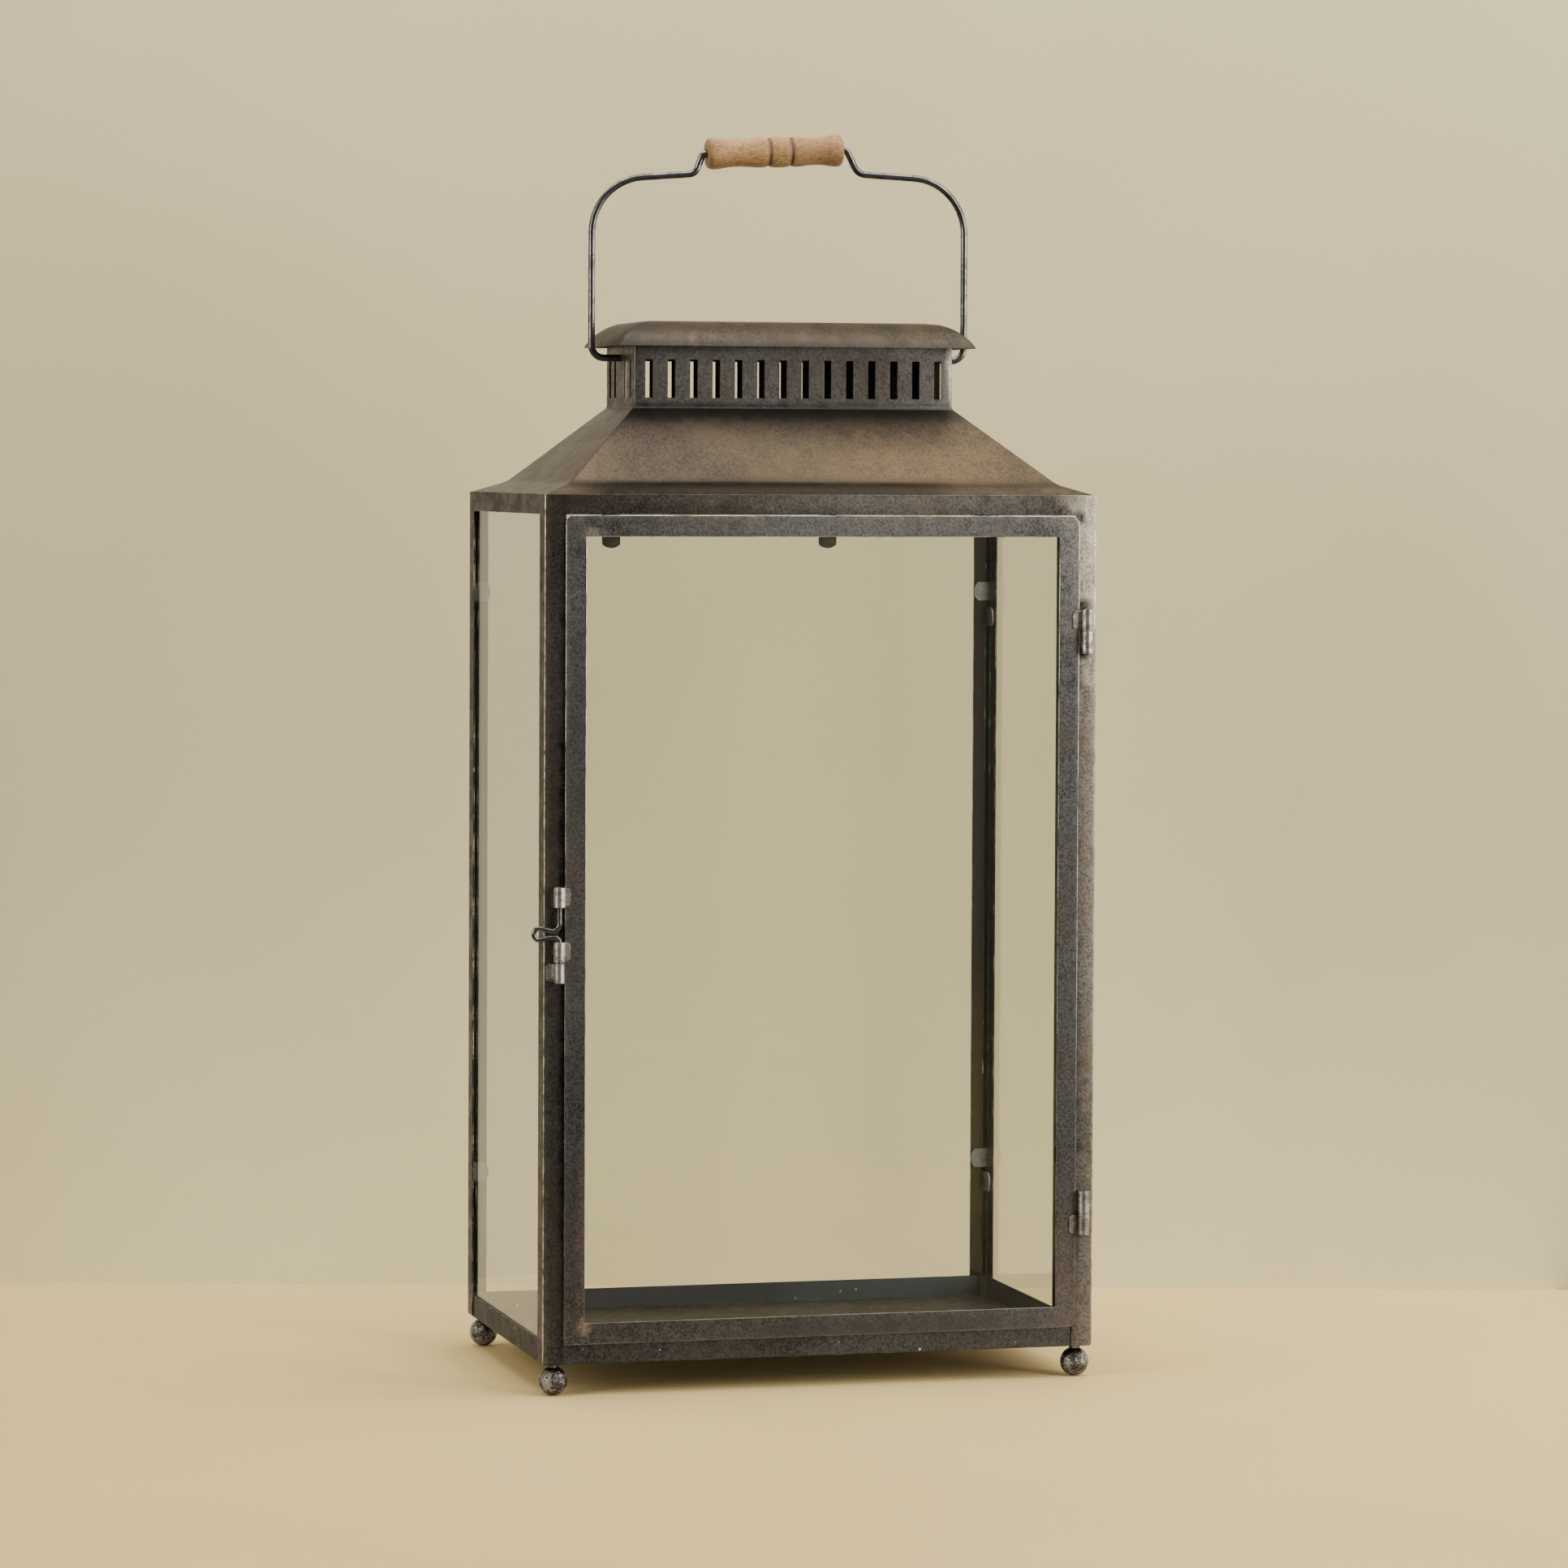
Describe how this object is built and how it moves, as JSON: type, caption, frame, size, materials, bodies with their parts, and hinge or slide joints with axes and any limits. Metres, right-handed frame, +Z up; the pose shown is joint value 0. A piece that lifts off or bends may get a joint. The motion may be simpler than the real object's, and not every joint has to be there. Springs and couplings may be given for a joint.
{
  "type": "rectangular candle lantern",
  "caption": "Rectangular glazed candle lantern with a hinged door and wire latch, hipped roof, slotted ventilator, ball feet and a swinging wire bail with a turned wooden grip.",
  "frame": {"origin": "middle of the case in plan, on the surface that the ball feet stand on", "axes": "+Z up, -Y towards the door, +X towards the door's hinges, which is the viewer's right from the front"},
  "size_m": [0.3688, 0.2339, 0.7951],
  "materials": {
    "blackened_steel": "blackened sheet steel, satin, worn bright on its edges",
    "brown_steel": "blackened sheet steel gone warm brown, satin",
    "bright_steel": "worn steel, semi-bright",
    "wood": "turned hardwood, waxed",
    "glass": "clear window glass"
  },
  "bodies": {
    "case": {"post_front_left": "blackened_steel", "post_front_right": "blackened_steel", "post_rear_left": "blackened_steel", "post_rear_right": "blackened_steel", "top_rail_front": "blackened_steel", "top_rail_rear": "blackened_steel", "top_rail_left": "blackened_steel", "top_rail_right": "blackened_steel", "base_tray": "blackened_steel", "ball_feet": "bright_steel", "roof_front": "brown_steel", "roof_rear": "brown_steel", "roof_left": "brown_steel", "roof_right": "brown_steel", "vent_neck": "blackened_steel", "vent_cap": "brown_steel", "door_stops": "blackened_steel", "rear_pane": "glass", "left_pane": "glass", "right_pane": "glass", "rear_pane_tabs": "blackened_steel", "left_pane_tabs": "blackened_steel", "right_pane_tabs": "blackened_steel", "hinge_post_knuckles": "bright_steel", "hinge_pins": "bright_steel", "latch_keeper": "bright_steel"},
    "door": {"door_stile_latch": "blackened_steel", "door_stile_hinge": "blackened_steel", "door_rail_top": "blackened_steel", "door_rail_bottom": "blackened_steel", "door_pane": "glass", "door_pane_clips": "blackened_steel", "hinge_door_knuckles": "bright_steel", "latch_sleeves": "bright_steel"},
    "latch_bolt": {"latch_bolt": "bright_steel"},
    "bail": {"bail_wire": "bright_steel"},
    "grip": {"bail_grip": "wood"}
  },
  "joints": [
    {"name": "door_swing", "type": "hinge", "parent": "case", "child": "door", "pos_m": [0.1724, -0.11705, 0], "axis": [0, 0, 1], "range_deg": [0, 210]},
    {"name": "bolt_slide", "type": "slide", "parent": "door", "child": "latch_bolt", "axis": [0, 0, 1], "range_m": [0, 0.0095]},
    {"name": "bail_swing", "type": "hinge", "parent": "case", "child": "bail", "pos_m": [0, 0, 0.6497], "axis": [1, 0, 0], "range_deg": [-120, 120]},
    {"name": "grip_spin", "type": "hinge", "parent": "bail", "child": "grip", "pos_m": [-0.0033, 0, 0.7832], "axis": [0.9992, 0, 0.0401], "continuous": true}
  ]
}
